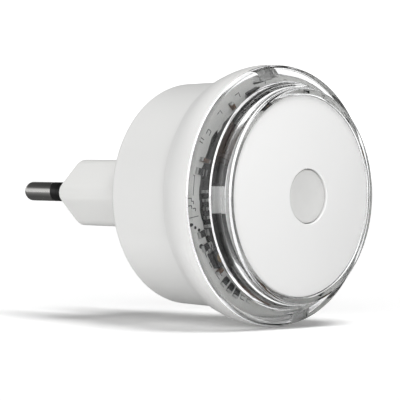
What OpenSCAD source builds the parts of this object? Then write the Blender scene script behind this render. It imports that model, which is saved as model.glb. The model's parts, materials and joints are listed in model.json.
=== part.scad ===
// Plug-in ultrasonic pest repeller: a round white housing on a two-pin mains plug, with a clear
// stepped light ring, a domed face and a frosted push button in its middle.
// Millimetres, +Z up. The face looks along -Y and the pins point along +Y. The origin is the
// centre of the plug's mating face. Modules are drawn along a depth axis, which runs forward
// from the mating face to the face, and facing() turns it to -Y.

/* [Plug] */
// Width of the plug body, across its two ridges
plug_w = 35.3; // [33:0.1:36]
// Height of the plug body
plug_h = 13.7; // [12:0.1:14]
// Length of the plug body, from the mating face to the drum
plug_len = 20.7; // [18:0.1:26]
// Diameter of the bare metal end of a pin
pin_d = 4; // [3.9:0.05:4.1]
// Length of a pin out of the mating face
pin_len = 19; // [18:0.5:20]
// Length of the insulating sleeve on a pin
sleeve_len = 10; // [9:0.5:11]
// Pin spacing at the mating face
pin_base_gap = 18.6; // [18:0.1:19.2]
// Pin spacing at the tips
pin_tip_gap = 17.5; // [17:0.1:18]

/* [Housing] */
// Drum diameter at its back
drum_d = 45; // [44:0.1:45.4]
// Length of the drum, from its back to the flange
drum_len = 16.7; // [15:0.1:22]
// Largest diameter of the flange
flange_d = 51.8; // [51.6:0.1:54]
// Radius of the flange's barrel curve, seen from the side
barrel_r = 12.5; // [12:0.5:16]
// Depth of the white part of the flange
white_depth = 7.5; // [7:0.1:8]
// Wall thickness of the drum
wall = 1.6; // [1.4:0.1:2]

/* [Light ring] */
// Depth of the clear flange, from the white part to its front
clear_depth = 3; // [2.8:0.1:3.4]
// Height of the step from the clear flange to the rim
rim_depth = 4; // [3.6:0.1:4.4]
// Diameter of the clear rim at the step
rim_d = 43.1; // [42.9:0.1:43.6]

/* [Face] */
// Diameter of the face
face_d = 39.5; // [39:0.1:39.6]
// Rise of the domed face from its edge to its middle
dome_rise = 1.9; // [1.5:0.1:2.2]
// Thickness of the face
face_t = 1.5; // [1.2:0.1:1.6]
// Diameter of the button
button_d = 10.5; // [10:0.1:10.6]
// Travel of the button
button_travel = 0.5; // [0.3:0.1:0.5]

/* [Hidden] */
$fn = 96;

// Depths along the axis, from the mating face forward
drum_back = plug_len;
flange_back = drum_back + drum_len;
white_front = flange_back + white_depth;
barrel_mid = flange_back + 6;
clear_front = white_front + clear_depth;
rim_front = clear_front + rim_depth;
face_edge = rim_front - 0.5;
dome_top = face_edge + dome_rise;

// Radii
drum_r = drum_d / 2;
drum_draft = 0.35;
flange_r = flange_d / 2;
rim_r = rim_d / 2;
rim_draft = 0.25;
face_r = face_d / 2;
dome_r = (face_r * face_r + dome_rise * dome_rise) / (2 * dome_rise);
button_r = button_d / 2;
button_hole_r = button_r + 0.15;
pin_r = pin_d / 2;

// Drum and flange details
back_edge_r = 1;
edge_r = 0.4;
rear_wall = 2;
inner_r = drum_r - wall;
board_seat = white_front - 1.7;
seat_r = 25.1;
throat_r = 23.2;

// Plug details
ridge_r = 2.2;
corner_r = 3.5;
plug_end_wall = 9;
plug_shell = 2;
plug_flange_t = 1.5;
plug_flange_w = 2;
pin_tilt = atan((pin_base_gap - pin_tip_gap) / 2 / pin_len);
pin_round = 1.6;
shank_r = 1.5;
neck_r = 1.8;
collar_len = 1.8;
pin_inner_end = 13.5;

// Power board
power_r = 20;
power_t = 1.6;
power_z = drum_back + rear_wall + 4.3;
power_top = power_z + power_t;
post_r = 3;
post_y = 15.5;
pilot_r = 1.1;
pilot_depth = 3.6;
screw_hole_r = 1.4;
screw_head_r = 2.6;
screw_head_h = 1.6;

// Contacts between the pins and the power board
contact_t = 0.8;
contact_w = 4;
contact_z = 11;
contact_x = 12.2;
contact_inner_x = 6.4;

// Light board
light_r = 24.85;
light_t = 1.2;
light_z = board_seat;
light_top = light_z + light_t;

// Header between the two boards
header_count = 5;
header_pitch = 2.54;
header_y = -10;
header_pin = 0.64;
header_hole_r = 0.5;

// Snap tongues of the clear lens
snap_angles = [102, 282];
snap_r = 23.3;
snap_t = 0.85;
snap_w = 5;
snap_gap = 0.3;
snap_depth = 3.6;
snap_nose = 0.45;
snap_pocket_r = 24.75;

// Clip legs of the face
leg_angles = [182, 62, 302];
leg_w = 5;
leg_in_r = 18.4;
leg_out_r = 19.2;
leg_end = board_seat + 3;
leg_nose = 0.45;
ledge_in_r = 19.35;
ledge_t = 1.2;

// Piezo stack, held against the back of the face round the button
holder_in_r = 13.6;
holder_out_r = 15.4;
piezo_r = 14.5;
piezo_hole_r = 7.5;
piezo_t = 0.3;
ceramic_out_r = 12.6;
ceramic_in_r = 9;
ceramic_t = 0.25;
gasket_in_r = 12.9;
gasket_t = 0.5;
piezo_z = light_top + 5.5;

// Push switch and button
switch_w = 6;
switch_h = 3.2;
switch_floor = 1.2;
cover_t = 0.3;
cavity_r = 2.4;
plunger_r = 1.7;
plunger_hole_r = 1.8;
plunger_top = light_top + 4.8;
dome_h = 0.6;
dome_sheet = 0.1;
cap_top = dome_top - 0.45;
cap_dish = 0.25;
cap_flange_r = 7;
cap_flange_t = 0.8;
cap_flange_z = plunger_top + button_travel + 0.8;

// Parts on the power board
film_pos = [-9.4, 9, 0];
film_size = [11, 6, 11];
bulk_pos = [9.5, 9.5, 0];
bulk_r = 4;
bulk_h = 11.5;
bridge_pos = [0, 5.5, 0];
bridge_size = [6.4, 4.8, 2.4];
bridge_lead = [1, 7.4, 0.25];
bridge_lead_gap = 4.4;
resistor_pos = [-9, -6.5, 0];
varistor_pos = [0, 10, 0];
varistor_r = 3.6;
varistor_t = 2;
zener_pos = [0, -3, 0];
coil_pos = [9.5, -9, 0];
coil_end_r = 4;
coil_end_t = 1.4;
coil_core_r = 1.8;
coil_wire_r = 3.5;
coil_gap = 5.6;

// Parts on the light board
chip_angle = 187;
chip_r = 17.6;
chip_l = 9.4;
chip_w = 3.4;
chip_h = 1.5;
lead_count = 5;
lead_pitch = 1.65;
can_angle = 148;
can_r = 17.39;
can_d = 3.7;
can_l = 7.5;
tuning_angle = 252;
tuning_r = 17.9;
tuning_size = [2.8, 7.2, 4];
led_angles = [20, 112, 214, 300];
led_r = 20.9;
led_size = [2.8, 3.5, 1.2];
status_y = -5.2;
status_size = [2, 1.25, 0.8];
resistor_angles = [168, 199, 206, 228, 233, 238, 40, 74];
resistor_r = 22;
resistor_size = [2, 1.25, 0.5];
capacitor_angles = [128, 162, 221, 268, 332];
capacitor_r = 21.8;
capacitor_size = [1.6, 0.8, 0.8];
transistor_angles = [226, 318];
transistor_r = 17.7;
transistor_size = [1.4, 2.9, 1.1];
transistor_lead = [0.9, 0.4, 0.25];
wire_r = 0.35;
wire_x = 11.5;
wire_y = 13.1;

white_plastic = [0.93, 0.93, 0.92];
clear_plastic = [0.85, 0.88, 0.9, 0.4];
black_plastic = [0.08, 0.08, 0.08];
tinned = [0.75, 0.76, 0.77];
brass_metal = [0.78, 0.62, 0.3];

// Points on an arc, from angle a to angle b
function arc(x, y, r, a, b, n = 8) =
    [for (i = [0 : n]) [x + r * cos(a + (b - a) * i / n), y + r * sin(a + (b - a) * i / n)]];

// Outer radius of the barrel-shaped flange at a depth
function barrel(z) = flange_r - barrel_r + sqrt(barrel_r * barrel_r - pow(z - barrel_mid, 2));

// Depth of the domed face at a radius, where it is lowered by some amount
function dome(r, lower = 0) = dome_top - lower - dome_r + sqrt(dome_r * dome_r - r * r);

// Outline of the plug body: flat top and bottom, and two ridges with faces at 45 degrees
function plug_outline(w, h) =
    let (corner = w / 2 + ridge_r * (sqrt(2) - 1) - h / 2)
    let (cut = corner_r * tan(22.5))
    let (ridge = w / 2 - ridge_r)
    concat(
        arc(ridge, 0, ridge_r, -45, 45),
        arc(corner - cut, h / 2 - corner_r, corner_r, 45, 90),
        arc(cut - corner, h / 2 - corner_r, corner_r, 90, 135),
        arc(-ridge, 0, ridge_r, 135, 225),
        arc(cut - corner, corner_r - h / 2, corner_r, 225, 270),
        arc(corner - cut, corner_r - h / 2, corner_r, 270, 315)
    );

// Turns a part drawn along the depth axis so that it faces -Y
module facing() rotate([90, 0, 0]) children();

// A ring with square edges
module ring(r_out, r_in, z, h) {
    translate([0, 0, z])
        difference() {
            cylinder(r = r_out, h = h);
            translate([0, 0, -1]) cylinder(r = r_in, h = h + 2);
        }
}

// A box that stands on a depth, centred on the axis
module block(size, z) translate([-size[0] / 2, -size[1] / 2, z]) cube(size);

// Places a part on the light board at an angle, its own X running outwards
module on_ring(angle, r) rotate([0, 0, angle]) translate([r, 0, 0]) children();

// Lines a part up with one of the two leaning pins; side is 1 at +X and -1 at -X
module along_pin(side)
    translate([side * pin_base_gap / 2, 0, 0]) rotate([0, side * pin_tilt, 0]) children();

// Repeats a part at each place of the header
module header_row()
    for (i = [0 : header_count - 1])
        translate([(i - (header_count - 1) / 2) * header_pitch, header_y, 0]) children();

// A rod that lies along X, centred on the axis
module lying_rod(r, length)
    rotate([0, 90, 0]) translate([0, 0, -length / 2]) cylinder(r = r, h = length, $fn = 48);

module plug_prism(w, h, z, length)
    translate([0, 0, z]) linear_extrude(length) polygon(plug_outline(w, h));

module rear_housing() {
    flange_steps = 14;
    outer = concat(
        [[0, drum_back]],
        arc(drum_r - back_edge_r, drum_back + back_edge_r, back_edge_r, -90, 0),
        [[drum_r + drum_draft, flange_back]],
        arc(barrel(flange_back + edge_r) - edge_r, flange_back + edge_r, edge_r, -90, 0, 4),
        [for (i = [1 : flange_steps])
            let (z = flange_back + edge_r + (white_depth - edge_r) * i / flange_steps)
            [barrel(z), z]]
    );
    inner = [
        [seat_r, white_front],
        [seat_r, board_seat],
        [throat_r, board_seat],
        [throat_r, flange_back + 2],
        [inner_r + drum_draft, flange_back + 1],
        [inner_r, drum_back + rear_wall],
        [0, drum_back + rear_wall]
    ];
    pocket_z = board_seat - snap_depth;
    color(white_plastic) facing() {
        difference() {
            union() {
                rotate_extrude() polygon(concat(outer, inner));
                for (side = [-1, 1])
                    translate([0, side * post_y, drum_back + rear_wall - 0.5])
                        cylinder(r = post_r, h = power_z - drum_back - rear_wall + 0.5);
            }
            plug_prism(plug_w, plug_h, drum_back - 1, rear_wall + 2);
            for (side = [-1, 1])
                translate([0, side * post_y, power_z - pilot_depth])
                    cylinder(r = pilot_r, h = pilot_depth + 1);
            for (a = snap_angles)
                rotate([0, 0, a])
                    translate([throat_r - 0.5, -snap_w / 2 - snap_gap, pocket_z])
                        cube([snap_pocket_r - throat_r + 0.5, snap_w + 2 * snap_gap, white_front]);
        }
    }
}

module plug_body() {
    flange_z = drum_back + rear_wall;
    color(white_plastic) facing()
        difference() {
            union() {
                plug_prism(plug_w, plug_h, 0, flange_z + 0.5);
                plug_prism(plug_w + 2 * plug_flange_w, plug_h + 2 * plug_flange_w,
                    flange_z, plug_flange_t);
            }
            plug_prism(plug_w - 2 * plug_shell, plug_h - 2 * plug_shell,
                plug_end_wall, flange_z + plug_flange_t);
            for (side = [-1, 1])
                along_pin(side) translate([0, 0, -1]) cylinder(r = neck_r, h = plug_end_wall + 2);
        }
}

module pin(side) {
    tip = arc(pin_r - pin_round, pin_round - pin_len, pin_round, -90, 0);
    color(tinned) facing() along_pin(side) {
        rotate_extrude()
            polygon(concat(
                [[0, -pin_len]],
                tip,
                [[pin_r, -sleeve_len], [shank_r, -sleeve_len], [shank_r, pin_inner_end],
                    [0, pin_inner_end]]
            ));
    }
}

module pin_left() pin(-1);

module pin_right() pin(1);

module sleeve(side) {
    color(black_plastic) facing() along_pin(side)
        rotate_extrude()
            polygon([
                [shank_r, -sleeve_len],
                [pin_r - 0.2, -sleeve_len],
                [pin_r, 0.2 - sleeve_len],
                [pin_r, collar_len - sleeve_len],
                [neck_r, collar_len + 0.4 - sleeve_len],
                [neck_r, plug_end_wall - 0.2],
                [shank_r, plug_end_wall - 0.2]
            ]);
}

module sleeve_left() sleeve(-1);

module sleeve_right() sleeve(1);

module contact(side) {
    plate_end = contact_x + contact_t;
    color(brass_metal) facing() {
        difference() {
            translate([side > 0 ? contact_inner_x : -plate_end, -contact_w / 2, contact_z])
                cube([plate_end - contact_inner_x, contact_w, contact_t]);
            along_pin(side) translate([0, 0, contact_z - 1]) cylinder(r = shank_r, h = 3);
        }
        translate([side > 0 ? contact_x : -plate_end, -contact_w / 2, contact_z + contact_t])
            cube([contact_t, contact_w, power_top + 1 - contact_z - contact_t]);
    }
}

module contact_left() contact(-1);

module contact_right() contact(1);

module power_board() {
    color([0.72, 0.6, 0.35]) facing()
        difference() {
            translate([0, 0, power_z]) cylinder(r = power_r, h = power_t);
            for (side = [-1, 1]) {
                translate([0, side * post_y, power_z - 1])
                    cylinder(r = screw_hole_r, h = power_t + 2);
                translate([side * (contact_x + contact_t / 2), 0, 0])
                    block([contact_t + 0.3, contact_w + 0.3, power_t + 2], power_z - 1);
            }
            header_row()
                translate([0, 0, power_z - 1]) cylinder(r = header_hole_r, h = power_t + 2, $fn = 24);
        }
}

module board_screws() {
    slot = [3, 0.6, 2];
    slot_z = power_top + screw_head_h - 0.8;
    color(tinned) facing()
        for (side = [-1, 1])
            translate([0, side * post_y, 0])
                difference() {
                    union() {
                        translate([0, 0, power_z - pilot_depth + 0.4])
                            cylinder(r = pilot_r, h = power_t + pilot_depth);
                        translate([0, 0, power_top]) cylinder(r = screw_head_r, h = screw_head_h);
                    }
                    block(slot, slot_z);
                    rotate([0, 0, 90]) block(slot, slot_z);
                }
}

module film_capacitor() {
    color([0.86, 0.74, 0.2]) facing()
        translate(film_pos) block(film_size, power_top);
}

module bulk_capacitor() {
    edge = 0.4;
    color([0.12, 0.13, 0.18]) facing()
        translate(bulk_pos + [0, 0, power_top])
            rotate_extrude()
                polygon(concat(
                    [[0, 0], [bulk_r - 0.3, 0], [bulk_r, 0.3], [bulk_r, 1],
                        [bulk_r - edge, 1.4], [bulk_r, 1.8]],
                    arc(bulk_r - edge, bulk_h - edge, edge, 0, 90, 4),
                    [[0, bulk_h]]
                ));
}

module bridge_rectifier() {
    color(black_plastic) facing() translate(bridge_pos) {
        block(bridge_size, power_top + 0.2);
        for (side = [-1, 1])
            translate([side * bridge_lead_gap / 2, 0, 0]) block(bridge_lead, power_top);
    }
}

// An axial part that lies on the power board with its leads bent down
module axial_part(body_r, body_l) {
    lead_r = 0.3;
    lead_reach = 1.6;
    lift = body_r + 0.3;
    translate([0, 0, power_top + lift]) {
        lying_rod(body_r, body_l);
        lying_rod(lead_r, body_l + 2 * lead_reach);
        for (side = [-1, 1])
            translate([side * (body_l / 2 + lead_reach - lead_r), 0, -lift])
                cylinder(r = lead_r, h = lift, $fn = 48);
    }
}

module fusible_resistor() {
    color([0.45, 0.62, 0.55]) facing() translate(resistor_pos) axial_part(1.5, 7);
}

module varistor() {
    color([0.15, 0.3, 0.65]) facing()
        translate(varistor_pos + [0, 0, power_top + varistor_r + 0.6])
            rotate([90, 0, 0]) cylinder(r = varistor_r, h = varistor_t);
}

module zener_diode() {
    color([0.75, 0.35, 0.15]) facing() translate(zener_pos) axial_part(1.2, 4.4);
}

module drive_coil() {
    color([0.2, 0.2, 0.21]) facing() translate(coil_pos + [0, 0, power_top]) {
        cylinder(r = coil_end_r, h = coil_end_t);
        translate([0, 0, coil_end_t]) cylinder(r = coil_core_r, h = coil_gap);
        translate([0, 0, coil_end_t + coil_gap]) cylinder(r = coil_end_r, h = coil_end_t);
    }
}

module coil_winding() {
    color([0.75, 0.38, 0.18]) facing() translate(coil_pos)
        ring(coil_wire_r, coil_core_r, power_top + coil_end_t, coil_gap);
}

module header_strip() {
    strip = 2.5;
    color(black_plastic) facing()
        difference() {
            translate([0, header_y, 0])
                block([header_count * header_pitch, strip, strip], light_z - strip);
            header_row() block([header_pin, header_pin, strip + 2], light_z - strip - 1);
        }
}

module header_pins() {
    back_end = power_z - 1.2;
    front_end = light_top + 1;
    color(brass_metal) facing()
        header_row() block([header_pin, header_pin, front_end - back_end], back_end);
}

module light_board() {
    color([0.9, 0.9, 0.88]) facing()
        difference() {
            translate([0, 0, light_z]) cylinder(r = light_r, h = light_t);
            for (a = snap_angles)
                rotate([0, 0, a])
                    translate([throat_r - 0.4, -snap_w / 2 - snap_gap, light_z - 1])
                        cube([3, snap_w + 2 * snap_gap, light_t + 2]);
            header_row()
                translate([0, 0, light_z - 1]) cylinder(r = header_hole_r, h = light_t + 2, $fn = 24);
        }
}

module controller_chip() {
    color(black_plastic) facing()
        on_ring(chip_angle, chip_r) block([chip_w, chip_l, chip_h - 0.2], light_top + 0.2);
}

module chip_leads() {
    foot = 0.9;
    rise = 0.9;
    reach = 0.3;
    lead_w = 0.6;
    lead_t = 0.2;
    color(tinned) facing()
        on_ring(chip_angle, chip_r)
            for (i = [0 : lead_count - 1])
                translate([chip_w / 2, (i - (lead_count - 1) / 2) * lead_pitch - lead_w / 2, light_top]) {
                    translate([0, 0, rise]) cube([reach + lead_t, lead_w, lead_t]);
                    translate([reach, 0, lead_t]) cube([lead_t, lead_w, rise - lead_t]);
                    translate([reach, 0, 0]) cube([foot, lead_w, lead_t]);
                }
}

module storage_capacitor() {
    radius = can_d / 2;
    color([0.13, 0.09, 0.07]) facing()
        on_ring(can_angle, can_r)
            translate([0, -can_l / 2, light_top + radius])
                rotate([-90, 0, 0])
                    rotate_extrude()
                        polygon(concat(
                            [[0, 0], [radius - 0.3, 0], [radius, 0.3], [radius, 1],
                                [radius - 0.25, 1.3], [radius, 1.6]],
                            arc(radius - 0.3, can_l - 0.3, 0.3, 0, 90, 4),
                            [[0, can_l]]
                        ));
}

module tuning_capacitor() {
    color([0.45, 0.22, 0.1]) facing()
        on_ring(tuning_angle, tuning_r) block(tuning_size, light_top);
}

module ring_leds() {
    color([0.95, 0.93, 0.8]) facing()
        for (a = led_angles)
            on_ring(a, led_r) block(led_size, light_top);
}

module status_led() {
    color([0.95, 0.95, 0.9]) facing()
        translate([0, status_y, 0]) block(status_size, light_top);
}

module chip_resistors() {
    color([0.1, 0.1, 0.1]) facing()
        for (a = resistor_angles)
            on_ring(a, resistor_r) block(resistor_size, light_top);
}

module chip_capacitors() {
    color([0.6, 0.45, 0.3]) facing()
        for (a = capacitor_angles)
            on_ring(a, capacitor_r) block(capacitor_size, light_top);
}

module drive_transistors() {
    lead_x = 1.05;
    lead_y = 0.95;
    color(black_plastic) facing()
        for (a = transistor_angles)
            on_ring(a, transistor_r) {
                block(transistor_size, light_top + 0.1);
                for (side = [-1, 1])
                    translate([-lead_x, side * lead_y, 0]) block(transistor_lead, light_top);
                translate([lead_x, 0, 0]) block(transistor_lead, light_top);
            }
}

module piezo_holder() {
    lip_h = piezo_t + 0.3;
    color([0.1, 0.1, 0.1]) facing() {
        difference() {
            translate([0, 0, light_top])
                cylinder(r = holder_out_r, h = piezo_z - light_top + lip_h);
            translate([0, 0, light_top - 1]) cylinder(r = holder_in_r, h = piezo_z);
            translate([0, 0, piezo_z]) cylinder(r = piezo_r, h = 5);
        }
    }
}

module piezo_plate() color(brass_metal) facing() ring(piezo_r, piezo_hole_r, piezo_z, piezo_t);

module piezo_ceramic() {
    color([0.85, 0.84, 0.78]) facing()
        ring(ceramic_out_r, ceramic_in_r, piezo_z - ceramic_t, ceramic_t);
}

module piezo_wires() {
    color([0.7, 0.1, 0.1]) facing() {
        translate([wire_x, 0, light_top])
            cylinder(r = wire_r, h = piezo_z - ceramic_t - light_top, $fn = 24);
        translate([0, wire_y, light_top])
            cylinder(r = wire_r, h = piezo_z - light_top, $fn = 24);
    }
}

module foam_gasket() {
    color([0.2, 0.2, 0.2]) facing() ring(piezo_r, gasket_in_r, piezo_z + piezo_t, gasket_t);
}

module switch_body() {
    color(black_plastic) facing()
        difference() {
            block([switch_w, switch_w, switch_h], light_top);
            translate([0, 0, light_top + switch_floor]) cylinder(r = cavity_r, h = switch_h);
        }
}

module switch_cover() {
    color(tinned) facing()
        difference() {
            block([switch_w, switch_w, cover_t], light_top + switch_h);
            translate([0, 0, light_top + switch_h - 1]) cylinder(r = plunger_hole_r, h = 3);
        }
}

module snap_dome() {
    base_r = 2.1;
    curve_r = (base_r * base_r + dome_h * dome_h) / (2 * dome_h);
    half = asin(base_r / curve_r);
    centre = light_top + switch_floor + dome_sheet + dome_h - curve_r;
    color(brass_metal) facing()
        rotate_extrude()
            polygon(concat(
                arc(0, centre, curve_r, 90 - half, 90, 10),
                arc(0, centre, curve_r - dome_sheet, 90, 90 - half, 10)
            ));
}

module switch_plunger() {
    tip_r = 0.8;
    guide_r = 2.2;
    flange_top = light_top + switch_h - 0.15;
    dome_crown = light_top + switch_floor + dome_h + dome_sheet;
    guide_z = dome_crown + 0.4;
    color(black_plastic) facing() {
        translate([0, 0, dome_crown + 0.02]) cylinder(r = tip_r, h = 0.4);
        translate([0, 0, guide_z]) cylinder(r = guide_r, h = flange_top - guide_z);
        translate([0, 0, flange_top]) cylinder(r = plunger_r, h = plunger_top - flange_top);
    }
}

module button_cap() {
    cap_edge = 0.3;
    dish_r = (pow(button_r - cap_edge, 2) + cap_dish * cap_dish) / (2 * cap_dish);
    dish_half = asin((button_r - cap_edge) / dish_r);
    flange_top = cap_flange_z + cap_flange_t;
    stem_r = 1.5;
    hollow_r = 4.2;
    roof = cap_top - 1.2;
    color([0.85, 0.85, 0.84]) facing()
        rotate_extrude()
            polygon(concat(
                [[0, plunger_top], [stem_r, plunger_top], [stem_r, roof], [hollow_r, roof],
                    [hollow_r, cap_flange_z], [cap_flange_r, cap_flange_z],
                    [cap_flange_r, flange_top], [button_r, flange_top]],
                arc(button_r - cap_edge, cap_top - cap_edge, cap_edge, 0, 90, 5),
                arc(0, cap_top - cap_dish + dish_r, dish_r, 270 + dish_half, 270, 8)
            ));
}

module face_plate() {
    steps = 16;
    edge = 0.25;
    top = [for (i = [0 : steps])
        let (r = button_hole_r + (face_r - edge - button_hole_r) * i / steps)
        [r, dome(r)]];
    under = [for (i = [0 : steps])
        let (r = face_r + (button_hole_r - face_r) * i / steps)
        [r, dome(r, face_t)]];
    seat = face_edge - face_t;
    color(white_plastic) facing() {
        rotate_extrude() polygon(concat(top, [[face_r, dome(face_r) - edge]], under));
        for (a = leg_angles)
            rotate([0, 0, a]) {
                translate([leg_in_r, -leg_w / 2, leg_end])
                    cube([leg_out_r - leg_in_r, leg_w, seat - leg_end + 0.3]);
                translate([leg_out_r - 0.1, leg_w / 2, seat - ledge_t - 1.7])
                    rotate([90, 0, 0])
                        linear_extrude(leg_w)
                            polygon([[0, 0], [leg_nose + 0.1, 1.4], [leg_nose + 0.1, 1.6], [0, 1.6]]);
            }
    }
}

module clear_lens() {
    barrel_steps = 8;
    fillet = 0.7;
    corner = 2;
    inner_corner = 1.2;
    crease = 0.1;
    rim_foot_r = rim_r + 1.3;
    seat = face_edge - face_t;
    recess_r = face_r + 0.12;
    bore_r = 19.75;
    lip_in_r = 24.4;
    lip_out_r = seat_r - 0.1;
    roof = clear_front - 1.3;
    tangent_z = (clear_front - corner - corner * barrel_mid / barrel_r) / (1 - corner / barrel_r);
    tangent = asin((tangent_z - barrel_mid) / barrel_r);
    shoulder_r = barrel(tangent_z) - corner * cos(tangent);
    outer = concat(
        [[lip_out_r, light_top], [lip_out_r, white_front]],
        [for (i = [0 : barrel_steps])
            let (z = white_front + (tangent_z - white_front) * i / barrel_steps)
            [barrel(z), z]],
        arc(shoulder_r, clear_front - corner, corner, tangent + 8, 90, 8),
        arc(rim_foot_r + crease, clear_front + crease, crease, 270, 205, 2),
        arc(rim_r - rim_draft - fillet, rim_front - fillet, fillet, 0, 90, 6)
    );
    inner = concat(
        [
            [recess_r + 0.15, rim_front],
            [recess_r, rim_front - 0.15],
            [recess_r, seat],
            [ledge_in_r, seat],
            [ledge_in_r, seat - ledge_t],
            [bore_r, seat - ledge_t],
            [bore_r, roof + 0.8],
            [bore_r + 0.6, roof]
        ],
        arc(lip_in_r - inner_corner, roof - inner_corner, inner_corner, 90, 0, 5),
        [[lip_in_r, light_top]]
    );
    tongue_z = board_seat - snap_depth + 0.3;
    color(clear_plastic) facing() {
        rotate_extrude() polygon(concat(outer, inner));
        for (a = snap_angles)
            rotate([0, 0, a]) {
                translate([snap_r, -snap_w / 2, tongue_z])
                    cube([snap_t, snap_w, roof + 0.3 - tongue_z]);
                translate([snap_r, -snap_w / 2, light_top])
                    cube([lip_in_r + 0.2 - snap_r, snap_w, roof + 0.3 - light_top]);
                translate([snap_r + snap_t - 0.1, snap_w / 2, tongue_z])
                    rotate([90, 0, 0])
                        linear_extrude(snap_w)
                            polygon([[0, 0], [0.1, 0], [0.1 + snap_nose, 1.2], [0.1 + snap_nose, 1.5],
                                [0, 1.5]]);
            }
    }
}

rear_housing();
plug_body();
pin_left();
pin_right();
sleeve_left();
sleeve_right();
contact_left();
contact_right();
power_board();
board_screws();
film_capacitor();
bulk_capacitor();
bridge_rectifier();
fusible_resistor();
varistor();
zener_diode();
drive_coil();
coil_winding();
header_strip();
header_pins();
light_board();
controller_chip();
chip_leads();
storage_capacitor();
tuning_capacitor();
ring_leds();
status_led();
chip_resistors();
chip_capacitors();
drive_transistors();
piezo_holder();
piezo_plate();
piezo_ceramic();
piezo_wires();
foam_gasket();
switch_body();
switch_cover();
snap_dome();
switch_plunger();
button_cap();
face_plate();
clear_lens();
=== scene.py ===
"""Plug-in ultrasonic pest repeller: the looks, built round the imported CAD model.

Pieces are drawn in millimetres as the CAD is: x to the right, y up, and z as the depth forward
from the plug's mating face. TO_FRAME turns that to the frame, in metres, with the face along -Y.
"""
import json
import math

import bmesh
import bpy
from mathutils import Matrix, Vector


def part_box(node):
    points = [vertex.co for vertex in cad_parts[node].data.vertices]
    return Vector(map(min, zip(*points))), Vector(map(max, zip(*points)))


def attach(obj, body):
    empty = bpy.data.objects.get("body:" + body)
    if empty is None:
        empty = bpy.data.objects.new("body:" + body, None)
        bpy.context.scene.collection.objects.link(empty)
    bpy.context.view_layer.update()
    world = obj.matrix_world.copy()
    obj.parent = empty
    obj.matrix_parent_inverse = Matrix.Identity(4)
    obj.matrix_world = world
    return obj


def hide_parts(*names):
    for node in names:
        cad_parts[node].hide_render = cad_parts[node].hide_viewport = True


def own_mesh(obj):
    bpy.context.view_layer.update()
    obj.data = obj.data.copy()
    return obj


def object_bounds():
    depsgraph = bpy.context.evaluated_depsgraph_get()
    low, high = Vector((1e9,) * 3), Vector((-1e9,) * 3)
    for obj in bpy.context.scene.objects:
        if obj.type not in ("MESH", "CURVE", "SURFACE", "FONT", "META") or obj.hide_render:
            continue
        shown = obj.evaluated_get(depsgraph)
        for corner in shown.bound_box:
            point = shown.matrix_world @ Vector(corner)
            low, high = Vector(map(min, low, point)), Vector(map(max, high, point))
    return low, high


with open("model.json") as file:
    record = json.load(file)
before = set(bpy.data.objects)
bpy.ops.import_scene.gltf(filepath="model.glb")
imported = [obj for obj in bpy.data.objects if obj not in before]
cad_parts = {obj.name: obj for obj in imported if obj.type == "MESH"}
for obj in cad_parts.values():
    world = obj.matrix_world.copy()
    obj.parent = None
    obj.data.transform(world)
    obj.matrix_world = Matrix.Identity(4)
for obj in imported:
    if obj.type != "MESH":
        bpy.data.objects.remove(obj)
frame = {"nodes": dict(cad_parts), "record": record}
cad_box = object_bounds()

MM = 0.001
TO_FRAME = Matrix(((1, 0, 0, 0), (0, 0, -1, 0), (0, 1, 0, 0), (0, 0, 0, 1))) @ Matrix.Scale(MM, 4)
TURNS = 192
FINE_TURNS = 256
SLOT_OF = {part["node"]: part["material_slot"] for part in frame["record"]["subparts"]}

# ---------------------------------------------------------------------------------------------
# Places taken from the frame
# ---------------------------------------------------------------------------------------------


def extent(node):
    """Lowest and highest corner of a CAD node in the drawing frame, in millimetres."""
    low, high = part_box(node)
    return Vector((low.x, low.z, -high.y)) / MM, Vector((high.x, high.z, -low.y)) / MM


def solids(node):
    """The corners of each separate solid of a CAD node, in the drawing frame."""
    bm = bmesh.new()
    bm.from_mesh(frame["nodes"][node].data)
    bm.transform(TO_FRAME.inverted())
    bmesh.ops.remove_doubles(bm, verts=bm.verts, dist=0.001)
    left = set(bm.verts)
    found = []
    while left:
        todo = [left.pop()]
        group = []
        while todo:
            vert = todo.pop()
            group.append(vert.co.copy())
            near = {edge.other_vert(vert) for edge in vert.link_edges} & left
            left -= near
            todo.extend(near)
        found.append(group)
    bm.free()
    return found


housing_low, housing_high = extent("rear_housing")
button_low, button_high = extent("button_cap")

# Depths, and then radii
DRUM_BACK = housing_low.z
WHITE_FRONT = housing_high.z
FLANGE_BACK = WHITE_FRONT - 7.5
BARREL_MID = FLANGE_BACK + 6
BOARD_SEAT = WHITE_FRONT - 1.7
BOARD_TOP = extent("light_board")[1].z
CLEAR_FRONT = WHITE_FRONT + 3
RIM_FRONT = extent("clear_lens")[1].z
FACE_EDGE = RIM_FRONT - 0.5
FLANGE_R = housing_high.x
BARREL_R = 12.5
DRUM_R = 22.5
DRUM_DRAFT = 0.35
SEAT_R = 25.1
THROAT_R = 23.2
RIM_R = 21.55
RIM_DRAFT = 0.25
FACE_R = 19.75
DOME_RISE = 1.9
DOME_R = (FACE_R**2 + DOME_RISE**2) / (2 * DOME_RISE)
BUTTON_R = 5.25

REAR_WALL = 2
FACE_T = 1.5
# Angles of the clear ring's snap tongues and of the face's clip legs
SNAP_ANGLES = (102, 282)
LEG_ANGLES = (182, 62, 302)

PLUG_W = 35.3
PLUG_H = 13.7
RIDGE_R = 2.2
CORNER_R = 3.5
PIN_R = 2
PIN_LEN = 19
PIN_GAP = 18.6
PIN_TIP_GAP = 17.5
PIN_TILT = math.atan((PIN_GAP - PIN_TIP_GAP) / 2 / PIN_LEN)
SLEEVE_LEN = 10

# Clear surfaces stop this short of what they rest on, so that light gets between the two
AIR_GAP = 0.05

# Painted shade: the board is painted black in a disc of this radius, with its centre at this x and y, for
# the shade that the face casts inside the rim
PAINTED_SHADE_R = 18.9
PAINTED_SHADE_X = -2.4
PAINTED_SHADE_Y = 0.4


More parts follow.
